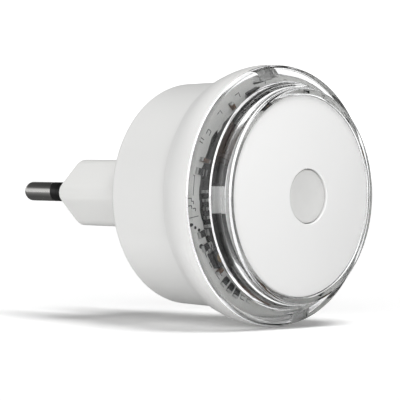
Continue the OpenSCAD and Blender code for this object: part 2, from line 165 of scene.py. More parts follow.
def barrel(depth):
    """Radius of the barrel-shaped flange at a depth."""
    return FLANGE_R - BARREL_R + math.sqrt(BARREL_R**2 - (depth - BARREL_MID) ** 2)


def dome(r, lower=0):
    """Depth of the domed face at a radius."""
    return FACE_EDGE + DOME_RISE - lower - DOME_R + math.sqrt(DOME_R**2 - r * r)


# ---------------------------------------------------------------------------------------------
# Mesh tools
# ---------------------------------------------------------------------------------------------


def arc(x, y, r, start, end, steps=6):
    """Points on an arc, from one angle to another in degrees."""
    angles = [math.radians(start + (end - start) * i / steps) for i in range(steps + 1)]
    return [(x + r * math.cos(a), y + r * math.sin(a)) for a in angles]


def loft(rings, loop=False):
    """A skin over rings of points; a ring with one point is a pole, and loop closes it on itself."""
    bm = bmesh.new()
    rows = [[bm.verts.new(point) for point in ring] for ring in rings]
    pairs = list(zip(rows, rows[1:]))
    if loop:
        pairs.append((rows[-1], rows[0]))
    for a, b in pairs:
        count = max(len(a), len(b))
        for i in range(count):
            j = (i + 1) % count
            if len(a) == 1:
                bm.faces.new((a[0], b[i], b[j]))
            elif len(b) == 1:
                bm.faces.new((a[i], b[0], a[j]))
            else:
                bm.faces.new((a[i], b[i], b[j], a[j]))
    bmesh.ops.recalc_face_normals(bm, faces=bm.faces)
    return bm


def ring_of(r, z, turns=TURNS):
    """A ring of points round the depth axis."""
    return [(x, y, z) for x, y in arc(0, 0, r, 0, 360, turns)[:-1]]


def turned(profile, turns=TURNS):
    """A body turned round the depth axis from (radius, depth) points, closed on itself."""
    rings = [ring_of(r, z, turns) if r > 0 else [(0, 0, z)] for r, z in profile]
    return loft(rings, loop=profile[0][0] > 0 and profile[-1][0] > 0)


def rounded_box(size, base=(0, 0, 0), r=0.1, steps=3):
    """A box with rounded edges that stands on its base point."""
    bm = bmesh.new()
    bmesh.ops.create_cube(bm, size=1)
    bm.transform(Matrix.Diagonal((*size, 1)))
    bmesh.ops.bevel(bm, geom=bm.edges[:], offset=r, segments=steps, affect="EDGES", profile=0.5)
    bm.transform(Matrix.Translation(Vector(base) + Vector((0, 0, size[2] / 2))))
    return bm


def mesh_of(bm, name="part"):
    """Writes a bmesh into a new mesh and frees it."""
    mesh = bpy.data.meshes.new(name)
    bm.to_mesh(mesh)
    bm.free()
    return mesh


def placed(name, data):
    """A new object with this data, linked to the scene."""
    obj = bpy.data.objects.new(name, data)
    bpy.context.scene.collection.objects.link(obj)
    return obj


def joined(*parts):
    """Several meshes as one."""
    total = bmesh.new()
    for bm in parts:
        mesh = mesh_of(bm)
        total.from_mesh(mesh)
        bpy.data.meshes.remove(mesh)
    return total


def combined(base, tool, operation):
    """The union or difference of two closed meshes."""
    made = [placed("part", mesh_of(bm)) for bm in (base, tool)]
    modifier = made[0].modifiers.new("combine", "BOOLEAN")
    modifier.operation = operation
    modifier.object = made[1]
    modifier.solver = "EXACT"
    shown = made[0].evaluated_get(bpy.context.evaluated_depsgraph_get())
    result = bmesh.new()
    result.from_mesh(shown.data)
    for obj in made:
        mesh = obj.data
        bpy.data.objects.remove(obj)
        bpy.data.meshes.remove(mesh)
    return result


def on_ring(angle, r, depth=0):
    """Where a part stands at an angle round the axis, its own x running outwards."""
    turn = Matrix.Rotation(math.radians(angle), 4, "Z")
    return turn @ Matrix.Translation((r, 0, depth))


def along_pin(side):
    """Where one of the two leaning pins stands; side is 1 at +x and -1 at -x."""
    lean = Matrix.Rotation(side * PIN_TILT, 4, "Y")
    return Matrix.Translation((side * PIN_GAP / 2, 0, 0)) @ lean


def moved(bm, matrix):
    """The same mesh, after a move."""
    bm.transform(matrix)
    return bm


def piece(name, bm, material, stands_for, sharp=35, body="housing"):
    """Makes a mesh into a piece that rides on a body, and hides the CAD nodes it stands for, if any are
    named.
    """
    mesh = mesh_of(moved(bm, TO_FRAME), name)
    mesh.shade_smooth()
    mesh.set_sharp_from_angle(angle=math.radians(sharp))
    mesh.materials.append(material)
    obj = placed(name, mesh)
    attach(obj, body)
    if stands_for:
        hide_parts(*stands_for)
    return obj


# ---------------------------------------------------------------------------------------------
# Materials
# ---------------------------------------------------------------------------------------------


def new_material(name):
    """A new material, its node tree and its shader."""
    mat = bpy.data.materials.new(name)
    mat.use_nodes = True
    return mat, mat.node_tree, mat.node_tree.nodes["Principled BSDF"]


def noise(tree, scale, detail=4, stretch=(1, 1, 1)):
    """A noise pattern fixed to the object, with its scale per metre."""
    place = tree.nodes.new("ShaderNodeTexCoord")
    mapping = tree.nodes.new("ShaderNodeMapping")
    mapping.inputs["Scale"].default_value = stretch
    pattern = tree.nodes.new("ShaderNodeTexNoise")
    pattern.inputs["Scale"].default_value = scale
    pattern.inputs["Detail"].default_value = detail
    tree.links.new(place.outputs["Object"], mapping.inputs["Vector"])
    tree.links.new(mapping.outputs["Vector"], pattern.inputs["Vector"])
    return pattern.outputs["Fac"]


def map_range(tree, source, start, end):
    """Maps one range of values to another, clamped at both ends."""
    node = tree.nodes.new("ShaderNodeMapRange")
    for socket, value in zip(("From Min", "From Max", "To Min", "To Max"), (*start, *end)):
        node.inputs[socket].default_value = value
    tree.links.new(source, node.inputs["Value"])
    return node.outputs["Result"]


def spread(tree, source, low, high):
    """Maps a pattern's middle range to a range of values."""
    return map_range(tree, source, (0.3, 0.7), (low, high))


def blend_colours(tree, factor, first, second):
    """Blends two colours by a pattern; the second may be a pattern itself."""
    node = tree.nodes.new("ShaderNodeMix")
    node.data_type = "RGBA"
    node.inputs["A"].default_value = (*first, 1)
    if isinstance(second, tuple):
        node.inputs["B"].default_value = (*second, 1)
    else:
        tree.links.new(second, node.inputs["B"])
    tree.links.new(factor, node.inputs["Factor"])
    return node.outputs["Result"]


def maths(tree, operation, first, second, clamp=False):
    """A sum on two patterns."""
    node = tree.nodes.new("ShaderNodeMath")
    node.operation = operation
    node.use_clamp = clamp
    tree.links.new(first, node.inputs[0])
    tree.links.new(second, node.inputs[1])
    return node.outputs["Value"]


def mix_shaders(tree, factor, first, second):
    """The first shader where the factor is 0 and the second where it is 1."""
    node = tree.nodes.new("ShaderNodeMixShader")
    tree.links.new(factor, node.inputs["Fac"])
    tree.links.new(first, node.inputs[1])
    tree.links.new(second, node.inputs[2])
    return node.outputs["Shader"]


def diffuse(tree, shade):
    """A matt grey, whose shade is a number or a pattern."""
    node = tree.nodes.new("ShaderNodeBsdfDiffuse")
    if isinstance(shade, float):
        node.inputs["Color"].default_value = (shade, shade, shade, 1)
    else:
        tree.links.new(shade, node.inputs["Color"])
    return node.outputs["BSDF"]


def bump(tree, shader, height, strength, distance):
    """Gives a shader fine relief from a pattern; the distance is in metres."""
    node = tree.nodes.new("ShaderNodeBump")
    node.inputs["Strength"].default_value = strength
    node.inputs["Distance"].default_value = distance
    tree.links.new(height, node.inputs["Height"])
    tree.links.new(node.outputs["Normal"], shader.inputs["Normal"])


def moulded(name, colour, shade, rough, grain=5000, relief=0.3, shine=0.5):
    """Moulded plastic: slightly uneven colour and gloss, and a fine skin."""
    mat, tree, shader = new_material(name)
    clouds = noise(tree, 90, 3)
    gloss = spread(tree, noise(tree, 260, 5), rough * 0.93, rough * 1.08)
    tree.links.new(blend_colours(tree, clouds, colour, shade), shader.inputs["Base Color"])
    tree.links.new(gloss, shader.inputs["Roughness"])
    shader.inputs["Specular IOR Level"].default_value = shine
    bump(tree, shader, noise(tree, grain, 3), relief, 0.004 * MM)
    return mat


def metal(name, colour, shade, rough, grain=500, stretch=(1, 1, 1), relief=0.12):
    """Bare or plated metal with drawn or turned marks along one direction."""
    mat, tree, shader = new_material(name)
    shader.inputs["Metallic"].default_value = 1
    marks = noise(tree, grain, 6, stretch)
    tree.links.new(blend_colours(tree, marks, colour, shade), shader.inputs["Base Color"])
    tree.links.new(spread(tree, marks, rough * 0.75, rough * 1.3), shader.inputs["Roughness"])
    bump(tree, shader, marks, relief, 0.03 * MM)
    return mat


def clear_plastic(name):
    """Polished clear acrylic, slightly uneven as moulded."""
    mat, tree, shader = new_material(name)
    shader.inputs["Transmission Weight"].default_value = 1
    shader.inputs["Base Color"].default_value = (0.985, 0.99, 0.992, 1)
    shader.inputs["IOR"].default_value = 1.49
    tree.links.new(spread(tree, noise(tree, 400, 3), 0.0, 0.02), shader.inputs["Roughness"])
    bump(tree, shader, noise(tree, 60, 1), 0.12, 0.4 * MM)
    return mat


def frosted(name):
    """Translucent frosted cap."""
    mat, tree, shader = new_material(name)
    clouds = noise(tree, 500, 4)
    tree.links.new(blend_colours(tree, clouds, (0.67, 0.67, 0.66), (0.71, 0.71, 0.7)),
                   shader.inputs["Base Color"])
    shader.inputs["Subsurface Weight"].default_value = 0.35
    shader.inputs["Subsurface Scale"].default_value = 1 * MM
    shader.inputs["Subsurface Radius"].default_value = (1, 1, 1)
    tree.links.new(spread(tree, noise(tree, 2500, 5), 0.4, 0.55), shader.inputs["Roughness"])
    bump(tree, shader, noise(tree, 6000, 3), 0.15, 0.03 * MM)
    return mat


def distance_from(tree, centre):
    """Distance from a line along the object's axis through a point (x, z), in metres."""
    place = tree.nodes.new("ShaderNodeTexCoord")
    offset = tree.nodes.new("ShaderNodeVectorMath")
    offset.operation = "SUBTRACT"
    offset.inputs[1].default_value = (centre[0], 0, centre[1])
    flat = tree.nodes.new("ShaderNodeVectorMath")
    flat.operation = "MULTIPLY"
    flat.inputs[1].default_value = (1, 0, 1)
    length = tree.nodes.new("ShaderNodeVectorMath")
    length.operation = "LENGTH"
    tree.links.new(place.outputs["Object"], offset.inputs[0])
    tree.links.new(offset.outputs["Vector"], flat.inputs[0])
    tree.links.new(flat.outputs["Vector"], length.inputs[0])
    return length.outputs["Value"]


def board_with_painted_shade(name):
    """Pale solder mask, painted black inside the rim as painted shade under the face, with an edge that
    wanders a little.
    """
    wander = 0.3 * MM
    inner = PAINTED_SHADE_R * MM
    outer = inner + 0.15 * MM
    mat, tree, shader = new_material(name)
    drift = spread(tree, noise(tree, 300, 2), -wander, wander)
    from_middle = distance_from(tree, (PAINTED_SHADE_X * MM, PAINTED_SHADE_Y * MM))
    outside_painted_shade = map_range(tree, maths(tree, "ADD", from_middle, drift), (inner, outer), (0, 1))
    pale = blend_colours(tree, noise(tree, 500, 4), (0.8, 0.8, 0.78), (0.7, 0.7, 0.68))
    # Painted shade: black inside the disc, where the face shades the board; pale solder mask outside it
    tree.links.new(blend_colours(tree, outside_painted_shade, (0.008, 0.007, 0.006), pale),
                   shader.inputs["Base Color"])
    tree.links.new(spread(tree, noise(tree, 700, 4), 0.34, 0.4), shader.inputs["Roughness"])
    shader.inputs["Specular IOR Level"].default_value = 0.12
    bump(tree, shader, noise(tree, 2500, 3), 0.3, 0.01 * MM)
    return mat


# A moulded plastic has two colours that blend in clouds, a roughness, grain, relief and shine
MATERIALS = {
    "white_shell": moulded("white_shell", (0.84, 0.84, 0.83), (0.83, 0.83, 0.82), 0.32),
    "white_plug": moulded("white_plug", (0.84, 0.84, 0.825), (0.83, 0.83, 0.815), 0.33),
    "white_face": moulded("white_face", (0.86, 0.86, 0.855), (0.85, 0.85, 0.845), 0.36),
    "pin_metal": metal("pin_metal", (0.8, 0.79, 0.77), (0.68, 0.67, 0.66), 0.13, 700, (1, 0.12, 1)),
    "black_sleeve": moulded("black_sleeve", (0.006, 0.006, 0.006), (0.012, 0.012, 0.012), 0.3),
    "contact_brass": metal("contact_brass", (0.75, 0.56, 0.25), (0.6, 0.42, 0.18), 0.3),
    "tan_board": moulded("tan_board", (0.45, 0.31, 0.13), (0.36, 0.24, 0.1), 0.55, 1500, 0.2),
    "steel_screws": metal("steel_screws", (0.6, 0.6, 0.6), (0.45, 0.45, 0.46), 0.28),
    "yellow_film": moulded("yellow_film", (0.75, 0.55, 0.06), (0.65, 0.46, 0.05), 0.3),
    "can_sleeve": moulded("can_sleeve", (0.02, 0.022, 0.05), (0.03, 0.032, 0.06), 0.25),
    "chip_black": moulded("chip_black", (0.012, 0.012, 0.013), (0.022, 0.022, 0.023), 0.5, 3000, 0.3, 0.1),
    "green_coat": moulded("green_coat", (0.1, 0.28, 0.2), (0.13, 0.34, 0.25), 0.3),
    "blue_coat": moulded("blue_coat", (0.02, 0.08, 0.36), (0.03, 0.11, 0.44), 0.3),
    "orange_glass": moulded("orange_glass", (0.5, 0.13, 0.02), (0.4, 0.1, 0.02), 0.15),
    "ferrite": moulded("ferrite", (0.03, 0.03, 0.032), (0.05, 0.05, 0.052), 0.6, 2500, 0.4),
    "copper_wire": metal("copper_wire", (0.7, 0.26, 0.09), (0.55, 0.18, 0.06), 0.3),
    # The light board's material: pale solder mask with painted shade, black inside the rim
    "white_board": board_with_painted_shade("white_board"),
    "tinned_metal": metal("tinned_metal", (0.55, 0.55, 0.54), (0.4, 0.4, 0.4), 0.35),
    "brown_can": moulded("brown_can", (0.035, 0.018, 0.012), (0.05, 0.028, 0.018), 0.3, shine=0.25),
    "brown_block": moulded("brown_block", (0.1, 0.05, 0.028), (0.15, 0.08, 0.045), 0.5),
    "led_white": moulded("led_white", (0.75, 0.74, 0.68), (0.7, 0.69, 0.62), 0.35),
    "led_dark": moulded("led_dark", (0.02, 0.02, 0.021), (0.03, 0.03, 0.031), 0.4, shine=0.15),
    "lamp_resin": moulded("lamp_resin", (0.2, 0.13, 0.05), (0.26, 0.17, 0.07), 0.2),
    "black_holder": moulded("black_holder", (0.012, 0.012, 0.012), (0.02, 0.02, 0.02), 0.4, shine=0.1),
    "piezo_white": moulded("piezo_white", (0.7, 0.69, 0.63), (0.64, 0.63, 0.56), 0.6),
    "red_wire": moulded("red_wire", (0.45, 0.02, 0.015), (0.38, 0.015, 0.012), 0.4),
    "black_foam": moulded("black_foam", (0.02, 0.02, 0.02), (0.035, 0.035, 0.035), 0.9, 3000, 0.8),
    "frosted_cap": frosted("frosted_cap"),
    "clear_ring": clear_plastic("clear_ring"),
}


def dress_cad_nodes():
    """Gives every CAD node the material of its slot."""
    for name, obj in frame["nodes"].items():
        obj.data.materials.clear()
        obj.data.materials.append(MATERIALS[SLOT_OF[name]])


# ---------------------------------------------------------------------------------------------
# Camera, floor and light
# ---------------------------------------------------------------------------------------------

# Height in the sky, from 0 at the horizon to 1 straight above, and how bright it is there
SKY = [(0.0, 0.0), (0.004, 0.8), (0.25, 0.7), (0.45, 0.12), (0.8, 0.02)]
BACKDROP = 1.3
KEY_POWER = 1.7
TOP_POWER = 2.1
UNDER_POWER = 0.5
# How much light is left on the right, where a dark flag keeps the clear ring free of glare, and
# between which directions' x it fades in
FLAG_SHADE = 0.35
FLAG_SPAN = (0.1, 0.6)
# The floor's shade as the camera sees it, and as the object gets light back from it
FLOOR_WHITE = 1.18
FLOOR_BOUNCE = 0.8
# The floor's shade in reflections holds painted shade: white far out on the left, and dark near the object
# and beyond, where its shadow and dark surroundings would be
FLOOR_GLOSS_FAR = 1.0
GLOSS_FAR_X = -0.3
FLOOR_GLOSS_NEAR = 0.1
GLOSS_NEAR_X = -0.02


def place_camera():
    """A long lens at the front left of the object, a little above its middle.

    Its angles, distance and aim are fitted to the plug, the drum's edges and the face's ellipse.
    """
    azimuth = math.radians(45.87)
    elevation = math.radians(0.884)
    roll = math.radians(0.542)
    distance = 0.4381
    aim = Vector((-8.18, -31.59, -1.05)) * MM
    level = math.cos(elevation)
    forward = Vector((math.sin(azimuth) * level, math.cos(azimuth) * level, -math.sin(elevation)))
    data = bpy.data.cameras.new("camera")
    data.sensor_width = 36
    data.lens = 198
    data.clip_start = 0.01
    data.clip_end = 20
    camera = placed("camera", data)
    camera.location = aim - forward * distance
    camera.rotation_mode = "QUATERNION"
    turn = forward.to_track_quat("-Z", "Y").to_matrix().to_4x4() @ Matrix.Rotation(roll, 4, "Z")
    camera.rotation_quaternion = turn.to_quaternion()
    bpy.context.scene.camera = camera


def floor_material():
    """White to the camera, greyer in the light it gives back, and with painted shade near the object in
    reflections.
    """
    mat = bpy.data.materials.new("floor")
    mat.use_nodes = True
    tree = mat.node_tree
    tree.nodes.remove(tree.nodes["Principled BSDF"])
    place = tree.nodes.new("ShaderNodeTexCoord")
    split = tree.nodes.new("ShaderNodeSeparateXYZ")
    tree.links.new(place.outputs["Object"], split.inputs["Vector"])
    # Painted shade in reflections: dark near the object and to its right, white far out to its left
    painted_reflection_shade = map_range(tree, split.outputs["X"], (GLOSS_FAR_X, GLOSS_NEAR_X),
                         (FLOOR_GLOSS_FAR, FLOOR_GLOSS_NEAR))
    path = tree.nodes.new("ShaderNodeLightPath")
    mirrored = maths(tree, "SUBTRACT", path.outputs["Is Glossy Ray"],
                     path.outputs["Is Transmission Ray"], clamp=True)
    shown = mix_shaders(tree, path.outputs["Is Diffuse Ray"], diffuse(tree, FLOOR_WHITE),
                        diffuse(tree, FLOOR_BOUNCE))
    shown = mix_shaders(tree, mirrored, shown, diffuse(tree, painted_reflection_shade))
    tree.links.new(shown, tree.nodes["Material Output"].inputs["Surface"])
    return mat


def lay_floor():
    """A plain pale floor just under the object."""
    bm = bmesh.new()
    bmesh.ops.create_grid(bm, x_segments=8, y_segments=8, size=3)
    floor = placed("floor", mesh_of(bm, "floor"))
    floor.location.z = cad_box[0].z - 0.02 * MM
    floor.visible_shadow = False
    floor.data.materials.append(floor_material())


def soft_sun(name, direction, spread_deg, strength):
    """A wide soft lamp from far away; it lights, and isn't seen in reflections."""
    data = bpy.data.lights.new(name, "SUN")
    data.angle = math.radians(spread_deg)
    data.energy = strength
    lamp = placed(name, data)
    lamp.rotation_mode = "QUATERNION"
    lamp.rotation_quaternion = Vector(direction).to_track_quat("-Z", "Y")
    lamp.visible_glossy = False
    lamp.visible_transmission = False


def studio_sky(tree):
    """The studio round the object: SKY's shades by height, dimmed on the right by a flag."""
    place = tree.nodes.new("ShaderNodeTexCoord")
    split = tree.nodes.new("ShaderNodeSeparateXYZ")
    tree.links.new(place.outputs["Generated"], split.inputs["Vector"])
    ramp = tree.nodes.new("ShaderNodeValToRGB")
    stops = ramp.color_ramp.elements
    stops[0].position = SKY[0][0]
    stops[1].position = SKY[-1][0]
    for position, _ in SKY[1:-1]:
        stops.new(position)
    for stop, (_, shade) in zip(stops, SKY):
        stop.color = (shade, shade, shade, 1)
    tree.links.new(split.outputs["Z"], ramp.inputs["Fac"])
    sky = tree.nodes["Background"]
    tree.links.new(ramp.outputs["Color"], sky.inputs["Color"])
    flag = map_range(tree, split.outputs["X"], FLAG_SPAN, (1, FLAG_SHADE))
    tree.links.new(flag, sky.inputs["Strength"])
    return sky.outputs["Background"]


def light_scene():
    """A white backdrop for the camera, the studio's sky for the object, and three soft lamps."""
    scene = bpy.context.scene
    scene.view_settings.view_transform = "Standard"
    scene.world = bpy.data.worlds.new("studio")
    scene.world.use_nodes = True
    tree = scene.world.node_tree
    sky = studio_sky(tree)
    white = tree.nodes.new("ShaderNodeBackground")
    white.inputs["Color"].default_value = (1, 1, 1, 1)
    white.inputs["Strength"].default_value = BACKDROP
    path = tree.nodes.new("ShaderNodeLightPath")
    seen = maths(tree, "MAXIMUM", path.outputs["Is Camera Ray"], path.outputs["Is Transmission Ray"])
    shown = mix_shaders(tree, seen, sky, white.outputs["Background"])
    tree.links.new(shown, tree.nodes["World Output"].inputs["Surface"])
    soft_sun("key", (0.72, 0.6, -0.22), 60, KEY_POWER)
    soft_sun("top", (-0.14, 0.26, -1), 34, TOP_POWER)
    soft_sun("under", (0.1, 0.1, 1), 50, UNDER_POWER)


# ---------------------------------------------------------------------------------------------
# Outer pieces
# ---------------------------------------------------------------------------------------------


def ray_exit(outline, dx, dy):
    """Where a ray from the middle leaves a closed outline."""
    for (ax, ay), (bx, by) in zip(outline, outline[1:] + outline[:1]):
        ex, ey = bx - ax, by - ay
        cross = dx * ey - dy * ex
        if abs(cross) < 1e-12:
            continue
        along = (ax * ey - ay * ex) / cross
        share = (ax * dy - ay * dx) / cross
        if along > 0 and -1e-9 <= share <= 1 + 1e-9:
            return along * dx, along * dy
    raise ValueError("the outline doesn't surround the middle")


def plug_outline(grow, z):
    """The plug's flat sides and two ridges, moved outwards by grow, as one point for each turn."""
    half_w = PLUG_W / 2 + grow
    half_h = PLUG_H / 2 + grow
    corner = half_w + RIDGE_R * (math.sqrt(2) - 1) - half_h
    cut = CORNER_R * math.tan(math.radians(22.5))
    quarter = arc(half_w - RIDGE_R, 0, RIDGE_R, 0, 45, 10)
    quarter += arc(corner - cut, half_h - CORNER_R, CORNER_R, 45, 90, 10)
    half = quarter + [(-x, y) for x, y in reversed(quarter)]
    outline = half + [(x, -y) for x, y in reversed(half)]
    ring = []
    for i in range(TURNS):
        angle = 2 * math.pi * i / TURNS
        ring.append((*ray_exit(outline, math.cos(angle), math.sin(angle)), z))
    return ring


def make_housing():
    """White drum and flange, with the plug's opening at the back and the board's seat in front."""
    back_edge = 1
    crease = 0.35
    flange_edge = 1
    chamfer = 0.1
    wall = 1.6
    funnel_start = FLANGE_BACK + 1
    funnel_end = FLANGE_BACK + 2
    steps = 20
    inner_r = DRUM_R - wall
    drum_end = DRUM_R + DRUM_DRAFT
    start = FLANGE_BACK + flange_edge
    low = start + chamfer
    rise = WHITE_FRONT - chamfer - low
    profile = arc(DRUM_R - back_edge, DRUM_BACK + back_edge, back_edge, -90, 0, 8)
    profile += arc(drum_end + crease, FLANGE_BACK - crease, crease, 180, 90, 5)
    profile += arc(barrel(start) - flange_edge, start, flange_edge, -90, -5, 6)
    profile += [(barrel(low + rise * i / steps), low + rise * i / steps) for i in range(steps + 1)]
    profile += [(barrel(WHITE_FRONT) - chamfer, WHITE_FRONT)]
    profile += [(SEAT_R + chamfer, WHITE_FRONT), (SEAT_R, WHITE_FRONT - chamfer)]
    profile += [(SEAT_R, BOARD_SEAT), (THROAT_R, BOARD_SEAT)]
    profile += [(THROAT_R, funnel_end), (inner_r + DRUM_DRAFT, funnel_start)]
    profile += [(inner_r, DRUM_BACK + REAR_WALL)]
    rings = [ring_of(r, z) for r, z in profile]
    rings.append(plug_outline(0, DRUM_BACK + REAR_WALL))
    rings.append(plug_outline(0, DRUM_BACK))
    piece("housing_shell", loft(rings, loop=True), MATERIALS["white_shell"], ["rear_housing"])


def make_plug():
    """Flat plug body with two ridges, moulded hollow from the inside, and two pin holes."""
    edge = 0.5
    shell = 2
    end_wall = 9
    flange_w = 2
    flange_start = DRUM_BACK + REAR_WALL
    flange_end = flange_start + 1.5
    hole_r = 1.8
    rounding = reversed(arc(edge, edge, edge, 180, 270, 5))
    rings = [[(0, 0, 0)]] + [plug_outline(-inset, z) for inset, z in rounding]
    rings += [plug_outline(0, flange_start), plug_outline(flange_w, flange_start)]
    rings += [plug_outline(flange_w, flange_end), plug_outline(-shell, flange_end)]
    rings += [plug_outline(-shell, end_wall), [(0, 0, end_wall)]]
    holes = []
    for side in (-1, 1):
        drill = turned([(0, -1), (hole_r, -1), (hole_r, end_wall + 1), (0, end_wall + 1)], 48)
        holes.append(moved(drill, along_pin(side)))
    bm = combined(loft(rings), joined(*holes), "DIFFERENCE")
    piece("plug_moulding", bm, MATERIALS["white_plug"], ["plug_body"], 25)


def make_pin(side, word):
    """A round nickel-plated pin in its black sleeve, which has a thicker collar at its end."""
    tip = 1.6
    pin_edge = 0.1
    shank = 1.5
    neck = 1.8
    collar = 1.8
    collar_edge = 0.2
    collar_ramp = 0.4
    pin_end = 13.5
    sleeve_end = 8.8
    profile = [(0, -PIN_LEN)]
    profile += arc(PIN_R - tip, tip - PIN_LEN, tip, -90, 0, 10)
    profile += [(PIN_R, -SLEEVE_LEN - pin_edge), (PIN_R - pin_edge, -SLEEVE_LEN)]
    profile += [(shank, -SLEEVE_LEN), (shank, pin_end), (0, pin_end)]
    piece(f"plug_pin_{word}", moved(turned(profile, 96), along_pin(side)),
          MATERIALS["pin_metal"], [f"pin_{word}"])
    profile = [(shank, -SLEEVE_LEN), (PIN_R - collar_edge, -SLEEVE_LEN)]
    profile += [(PIN_R, collar_edge - SLEEVE_LEN)]
    profile += arc(PIN_R - collar_edge, collar - SLEEVE_LEN, collar_edge, 0, 45, 3)
    profile += [(neck, collar + collar_ramp - SLEEVE_LEN), (neck, sleeve_end), (shank, sleeve_end)]
    piece(f"pin_sleeve_{word}", moved(turned(profile, 96), along_pin(side)),
          MATERIALS["black_sleeve"], [f"sleeve_{word}"])


def snap_tongue(angle, roof, root_foot):
    """A tongue that hangs from the clear ring's roof through the board, with a thicker root."""
    inner_r = 23.3
    width = 5
    tongue_t = 0.85
    root_t = 1.4
    tongue_top = roof + 0.3
    root_top = roof + 0.25
    tongue_foot = BOARD_SEAT - 3.3
    tongue = rounded_box((tongue_t, width, tongue_top - tongue_foot),
                         (inner_r + tongue_t / 2, 0, tongue_foot), 0.12, 2)
    root = rounded_box((root_t, width, root_top - root_foot),
                       (inner_r + root_t / 2, 0, root_foot), 0.1, 2)
    return moved(combined(tongue, root, "UNION"), on_ring(angle, 0))


def make_lens():
    """Clear stepped ring: a thin rounded flange, a crisp step and a rim that holds the face."""
    fillet = 0.7
    corner = 2
    crease = 0.06
    rim_foot = RIM_R + 1.0
    rim_bevel = 0.15
    recess_r = FACE_R + 0.12
    seat = FACE_EDGE - FACE_T - AIR_GAP
    ledge_r = 19.35
    ledge_t = 1.2
    bore_r = 19.75
    bore_fillet = 0.7
    roof = CLEAR_FRONT - 1.3
    inner_corner = 1.2
    lip_in = 24.4
    lip_out = SEAT_R - 0.1
    foot = BOARD_TOP + AIR_GAP
    back = WHITE_FRONT + AIR_GAP
    steps = 10
    # At this depth the corner's arc leaves the barrel's curve, where the two are tangent
    tangent_z = (CLEAR_FRONT - corner - corner * BARREL_MID / BARREL_R) / (1 - corner / BARREL_R)
    tangent = math.asin((tangent_z - BARREL_MID) / BARREL_R)
    shoulder = barrel(tangent_z) - corner * math.cos(tangent)
    side = tangent_z - back
    profile = [(lip_out, foot), (lip_out, back)]
    profile += [(barrel(back + side * i / steps), back + side * i / steps) for i in range(steps + 1)]
    profile += arc(shoulder, CLEAR_FRONT - corner, corner, math.degrees(tangent) + 4, 90, 16)
    profile += arc(rim_foot + crease, CLEAR_FRONT + crease, crease, 270, 205, 3)
    profile += arc(RIM_R - RIM_DRAFT - fillet, RIM_FRONT - fillet, fillet, 0, 90, 12)
    profile += [(recess_r + rim_bevel, RIM_FRONT), (recess_r, RIM_FRONT - rim_bevel)]
    profile += [(recess_r, seat), (ledge_r, seat), (ledge_r, seat - ledge_t)]
    profile += [(bore_r, seat - ledge_t)]
    profile += arc(bore_r + bore_fillet, roof + bore_fillet, bore_fillet, 180, 270, 6)
    profile += arc(lip_in - inner_corner, roof - inner_corner, inner_corner, 90, 0, 10)
    profile += [(lip_in, foot)]
    tongues = [snap_tongue(angle, roof, foot) for angle in SNAP_ANGLES]
    bm = combined(turned(profile, FINE_TURNS), joined(*tongues), "UNION")
    piece("light_ring", bm, MATERIALS["clear_ring"], ["clear_lens"])


def make_face():
    """White domed face with a round hole for the button and three clip legs behind."""
    edge = 0.25
    bevel = 0.15
    hole_r = BUTTON_R + 0.15
    steps = 24
    inner = hole_r + bevel
    outer = FACE_R - edge
    front = [inner + (outer - inner) * i / steps for i in range(steps + 1)]
    behind = [FACE_R + (hole_r - FACE_R) * i / steps for i in range(steps)]
    profile = [(hole_r, dome(hole_r, FACE_T)), (hole_r, dome(hole_r) - bevel)]
    profile += [(r, dome(r)) for r in front]
    profile += arc(outer, dome(outer) - edge, edge, 80, 0, 4)
    profile += [(r, dome(r, FACE_T)) for r in behind]
    leg_r = 18.8
    leg_t = 0.8
    leg_w = 5
    leg_end = BOARD_TOP + 1.8
    leg_top = FACE_EDGE - FACE_T + 0.35
    legs = []
    for angle in LEG_ANGLES:
        leg = rounded_box((leg_t, leg_w, leg_top - leg_end), (leg_r, 0, leg_end), 0.15, 3)
        legs.append(moved(leg, on_ring(angle, 0)))
    bm = combined(turned(profile, FINE_TURNS), joined(*legs), "UNION")
    piece("domed_face", bm, MATERIALS["white_face"], ["face_plate"])


def make_button():
    """Frosted push button, dished in the middle, with a flange under the face."""
    stem, top = button_low.z, button_high.z
    stem_r = 1.5
    hollow_r = 4.2
    roof = top - 1.2
    flange = stem + 1.3
    flange_r = 7
    flange_top = flange + 0.8
    edge = 0.35
    lip = 0.4
    dish = 0.25
    rim = BUTTON_R - edge
    bowl = rim - lip
    bowl_r = (bowl**2 + dish**2) / (2 * dish)
    half = math.degrees(math.asin(bowl / bowl_r))
    profile = [(0, stem), (stem_r, stem), (stem_r, roof), (hollow_r, roof), (hollow_r, flange)]
    profile += [(flange_r, flange), (flange_r, flange_top), (BUTTON_R, flange_top)]
    profile += arc(rim, top - edge, edge, 0, 90, 8)
    profile += arc(0, top - dish + bowl_r, bowl_r, 270 + half, 270, 14)[1:-1]
    profile += [(0, top - dish)]
    piece("push_button", turned(profile, 128), MATERIALS["frosted_cap"], ["button_cap"],
          body="button")


# ---------------------------------------------------------------------------------------------
# Parts on the light board, seen through the clear ring
# ---------------------------------------------------------------------------------------------


def make_snap_dome():
    """Thin metal dome under the plunger, drawn at rest and with a mesh of its own; on the real switch it
    flattens as the button goes in.
    """
    low, high = extent("snap_dome")
    sheet = 0.1
    rise = 0.6
    foot_r = high.x
    dome_r = (foot_r**2 + rise**2) / (2 * rise)
    half = math.degrees(math.asin(foot_r / dome_r))
    centre = high.z - dome_r
    profile = [(0, high.z - sheet)] + arc(0, centre, dome_r - sheet, 90, 90 - half, 14)[1:]
    profile += arc(0, centre, dome_r, 90 - half, 90, 14)[:-1] + [(0, high.z)]
    cap = piece("switch_dome", turned(profile, 64), MATERIALS["tinned_metal"], ["snap_dome"])
    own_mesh(cap)


